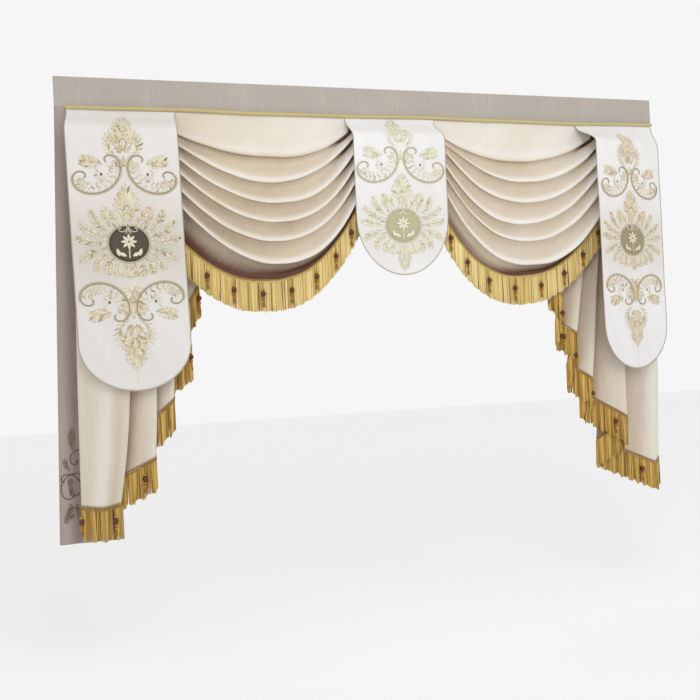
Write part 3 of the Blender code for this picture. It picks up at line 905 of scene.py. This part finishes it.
def palmette(base, size, rise, petals=9, spread=1.45):
    """Leaves fanned out from a base, the middle ones longest: each as place, direction, length and width."""
    made = []
    for number in range(petals):
        turn = spread * (2 * number / (petals - 1) - 1)
        long = size * (1 - 0.42 * abs(turn) / spread)
        place = (base[0] + sin(turn) * long * 0.60, base[1] + rise * cos(turn) * long * 0.60)
        made.append((*place, pi / 2 * rise - rise * turn, long * 0.44, long * 0.12))
    return made


def frond(root, heading, long, bend, leaves, size):
    """A bent stem, and the leaves on both sides of it, which get smaller towards its tip."""
    turns = heading + bend * np.linspace(0, 1, 16)
    steps = np.stack([np.cos(turns), np.sin(turns)], axis=-1) * long / 16
    stem = np.array(root) + np.cumsum(steps, axis=0)
    made = []
    for number in range(leaves):
        at = round(1 + 13 * number / (leaves - 1))
        fade = sin(pi * (0.22 + 0.66 * number / leaves))
        for side in (-1, 1):
            turn = turns[at] + side * 0.70
            place = stem[at] + np.array([cos(turn), sin(turn)]) * size * fade * 0.9
            made.append((*place, turn, size * fade, size * fade * 0.34))
    made.append((*stem[-1], turns[-1], size * 0.6, size * 0.22))
    return stem, made


def mirrored(side, root, heading, long, bend, *rest):
    """A frond on one side of the centre line, given as it is on the right."""
    turn = radians(heading) if side > 0 else pi - radians(heading)
    return frond((side * root[0], root[1]), turn, long, side * bend, *rest)


def scroll_pair(z, rise, size):
    """Two mirrored scrolls, each with a pale outline, inner rows of leaves, a dark stone and two fronds."""
    cords, fine, leaves, gems = [], [], [], []
    for side in (-1, 1):
        foot = (side * SCROLL_FOOT * size, z)
        cords.append(scroll(foot, side, rise, size))
        fine.append(scroll(foot, side, rise, size, 0.0046, (200, 470)))
        for away, slant, leaf in ((-0.0075, 0.9, 0.0062), (-0.0165, -0.7, 0.0074), (-0.0270, 0.9, 0.0066)):
            inner = scroll(foot, side, rise, size, away, (230, 455))
            for number in range(1, len(inner) - 1, 3):
                run = inner[number + 1] - inner[number - 1]
                leaves.append((*inner[number], np.arctan2(run[1], run[0]) + slant, leaf, leaf * 0.42))
        stone = (side * 0.068 * size, z + rise * 0.058 * size)
        gems.append((*stone, pi / 2, 0.0052, 0.0040))
        for number in range(7):
            turn = -2.3 + 0.52 * number
            place = (stone[0] + side * cos(turn) * 0.0150, stone[1] + rise * sin(turn) * 0.0150)
            leaves.append((*place, turn * side * rise + (pi if side * rise < 0 else 0), 0.0066, 0.0026))
        for root, heading, long, bend, count, leaf in (
            ((0.060 * size, z + rise * 0.086 * size), 20 * rise, 0.058, -0.3 * rise, 6, 0.0145),
            ((0.074 * size, z + rise * 0.082 * size), 2 * rise, 0.040, 0.5 * rise, 5, 0.0095),
        ):
            stem, made = mirrored(side, root, heading, long, bend, count, leaf)
            fine.append(stem)
            leaves += made
    return cords, fine, leaves, gems


def finial(z, rise, size):
    """The head or the foot of the design: palmettes one over the other, between curled fronds."""
    fine, leaves = [], []
    for side in (-1, 1):
        for root, heading, long, bend, count, leaf in (
            ((0.004, z - rise * 0.022 * size), 5 * rise, 0.150 * size, 4.4 * rise, 15, 0.0100 * size),
            ((0.006, z - rise * 0.004 * size), 10 * rise, 0.085 * size, 4.6 * rise, 9, 0.0070 * size),
            ((0.008, z + rise * 0.034 * size), 50 * rise, 0.060 * size, 1.6 * rise, 8, 0.0085 * size),
        ):
            stem, made = mirrored(side, root, heading, long, bend, count, leaf)
            fine.append(stem)
            leaves += made
    for up, high in ((-0.012, 0.030), (0.012, 0.046), (0.036, 0.044), (0.060, 0.034), (0.080, 0.022)):
        leaves += palmette((0.0, z + rise * up * size), high * size, rise)
    if rise < 0:
        for down in (0.106, 0.117, 0.128):
            leaves.append((0.0, z - down * size, pi / 2, 0.0042 * size, 0.0020 * size))
    return fine, leaves


def wreath(z, size):
    """Long fronds all round the medallion, widest beside it, over a close ring of petals."""
    fine, leaves = [], []
    for side in (-1, 1):
        for angle, long, bend in WREATH:
            root = (cos(radians(angle)) * 0.064, z + sin(radians(angle)) * 0.060)
            stem, made = mirrored(side, root, angle, long * size, bend, 10, 0.0092)
            fine.append(stem)
            leaves += made
    for number in range(32):
        turn = number * pi / 16
        leaves.append((cos(turn) * 0.0670, z + sin(turn) * 0.0630, turn, 0.0085, 0.0034))
    return fine, leaves


def stitched(name, lay, leaves, tones, finish, lift=0.0):
    """Pointed, domed leaves in satin stitch, each from its place, direction, length and width."""
    pattern = ball_pattern(6, 4)
    model = points_of(pattern)
    shapes = []
    for x, z, turn, long, wide in leaves:
        along = model[:, 0] * long
        aside = model[:, 1] * wide * (1 - 0.35 * np.abs(model[:, 0]))
        run = along * cos(turn) - aside * sin(turn)
        climb = along * sin(turn) + aside * cos(turn)
        laid = lay(np.stack([x + run, z + climb], axis=-1), lift)
        laid[:, 1] -= (model[:, 2] + 0.5) * STITCH_HIGH
        shapes.append(laid)
    return copies(name, pattern, np.array(shapes), tones, finish)


def medallion(name, finish):
    """A round pad of close stitches, domed in the middle."""
    centre_z = TABS[name]["work_z"]
    bpy.ops.mesh.primitive_circle_add(vertices=72, radius=1, fill_type="TRIFAN")
    piece = bpy.context.object
    piece.name = piece.data.name = name + "_medallion"
    bpy.ops.object.mode_set(mode="EDIT")
    bpy.ops.mesh.select_all(action="SELECT")
    bpy.ops.mesh.subdivide(number_cuts=4)
    bpy.ops.object.mode_set(mode="OBJECT")
    flat = points_of(piece)[:, :2]
    laid = on_tab(name, flat * MEDALLION_SIZE + (0, centre_z), 0.0)
    laid[:, 1] -= 0.0012 * np.sqrt(np.maximum(1 - np.sum(flat**2, axis=1), 0)) - 0.0002
    piece.data.vertices.foreach_set("co", laid.ravel())
    thicken(piece, 0.0006, -1.0)
    set_tone(piece, np.full(len(piece.data.vertices), 0.5))
    dress(piece, finish)
    return piece


def star_flower(centre_z):
    """The medallion's flower: eight petals, a stem with two leaves on each side, and a palmette over it."""
    petals = [(sin(turn) * 0.0120, centre_z + 0.006 + cos(turn) * 0.0120, pi / 2 - turn, 0.0115, 0.0046)
              for turn in np.arange(8) * pi / 4]
    beside = [(side * reach, centre_z + drop, pi / 2 - side * lean, 0.0125, 0.0058)
              for side in (-1, 1) for reach, drop, lean in ((0.018, -0.030, 1.1), (0.030, -0.024, 0.3))]
    stem = [(0.0, centre_z - 0.012 - 0.008 * drop, pi / 2, 0.006, 0.0022) for drop in range(4)]
    return petals + beside + stem + palmette((0.0, centre_z + 0.030), 0.017, 1, 5, 1.5)


def tab_design(design, centre_z):
    """All of a tab's motifs, as scroll cords, fine stems, leaves and dark stones."""
    fine, leaves = wreath(centre_z, design["reach"])
    cords, gems = [], []
    for z, size, rise in design["palmettes"]:
        leaves += palmette((0.0, z), size, rise)
    for z, rise, size in design["scrolls"]:
        for made, more in zip((cords, fine, leaves, gems), scroll_pair(z, rise, size)):
            made += more
    for z, rise, size in design["finials"]:
        for made, more in zip((fine, leaves), finial(z, rise, size)):
            made += more
    return cords, fine, leaves, gems


edging = yarn_finish("rolled_satin_edge", EDGING, 120, 0.0)
for number, (name, design) in enumerate(DESIGNS.items()):
    draw = np.random.default_rng(number + 70)
    thread = yarn_finish(name + "_thread", THREADS[name], THREAD_TURNS, 0.0)
    shades = [[value * share for value in MEDALLION[name]] for share in MEDALLION_SHADES]
    ground = yarn_finish(name + "_medallion_thread", shades, THREAD_TURNS, 0.0)
    centre_z = TABS[name]["work_z"]
    cords, fine, leaves, gems = tab_design(design, centre_z)
    pale = draw.normal(0.82, 0.13, len(leaves)) - 0.4 * (draw.random(len(leaves)) < 0.18)
    flower = star_flower(centre_z)
    angle = np.linspace(0, 2 * pi, 90)
    rim = np.stack([np.cos(angle), np.sin(angle)], axis=-1) * MEDALLION_SIZE + (0, centre_z)
    curls = [scroll((side * 0.016, centre_z + 0.034), side, 1, 0.16) for side in (-1, 1)]
    lay = partial(on_tab, name)
    cords, fine = [lay(line, 0.0006) for line in cords], [lay(line, 0.0003) for line in fine]
    curls = [lay(line, 0.0016) for line in curls]
    cord(name + "_scroll_cord", cords, CORD_RADIUS, thread, 0.26)
    cord(name + "_fine_cord", fine, FINE_CORD, thread, 0.60, 0)
    stitched(name + "_leaves", lay, leaves, np.clip(pale, 0, 1), thread)
    stitched(name + "_stones", lay, gems, np.zeros(len(gems)), thread, 0.0004)
    medallion(name, ground)
    cord(name + "_medallion_rim", [lay(rim, 0.0008)], 0.0016, thread, 0.45)
    stitched(name + "_flower", lay, flower, np.full(len(flower), 0.95), thread, 0.0014)
    cord(name + "_medallion_curls", curls, 0.0012, thread, 0.95)
    cord(name + "_rolled_edge", [tab_edges[name]], 0.0013, edging, 0.3)

# Drape embroidery
# One brown motif near the foot of the drape, worked in the same way and half hidden by the tail: scrolls that
# stand on end, with sprays between them.
# The thread's brown is painted darker as shade, like the drape's cloth.
DRAPE_THREAD = ((88, 68, 48), (126, 104, 80), (160, 140, 114))
UPRIGHT_SCROLLS = (
    ((-1.048, -1.190), 1, 0.52), ((-0.994, -1.186), -1, 0.46), ((-1.020, -1.105), 1, 0.30),
    ((-1.030, -1.262), 1, 0.20),
)
SPRAYS = (
    ((-1.010, -1.085), 1.8, 0.065, -0.4, 9, 0.0085), ((-1.022, -1.140), 2.2, 0.035, -0.5, 6, 0.0065),
    ((-1.022, -1.228), -1.7, 0.060, -0.3, 9, 0.0085), ((-1.010, -1.232), -1.2, 0.045, -0.4, 6, 0.0070),
    ((-1.021, -1.208), 1.57, 0.045, 0.1, 7, 0.0070),
)


def on_drape(flat, lift):
    """Points given as X and height, laid on the face of the side drape."""
    flat = np.asarray(flat)
    sides = [drape_point(share, flat[:, 1])[0][:, 0] for share in (0.0, 1.0)]
    points = drape_point((flat[:, 0] - sides[0]) / (sides[1] - sides[0]), flat[:, 1])[0]
    points[:, 1] -= CLOTH_FACE + lift
    return points


def upright(foot, side, size):
    """A scroll stood on end, with its sweep to the left or, mirrored, to the right."""
    line = scroll((0.0, 0.0), 1, 1, size)
    return np.stack([foot[0] + side * line[:, 1], foot[1] - line[:, 0]], axis=-1)


brown = yarn_finish("drape_thread", DRAPE_THREAD, THREAD_TURNS, 0.0)
cords = [on_drape(upright(*shape), 0.0006) for shape in UPRIGHT_SCROLLS]
stems, leaves = [], []
for spray in SPRAYS:
    stem, made = frond(*spray)
    stems.append(on_drape(stem, 0.0003))
    leaves += made
drape_work = [
    cord("drape_scroll_cord", cords, 0.0014, brown, 0.1),
    cord("drape_fine_cord", stems, FINE_CORD, brown, 0.4, 0),
    stitched("drape_leaves", on_drape, leaves, np.full(len(leaves), 0.6), brown),
]
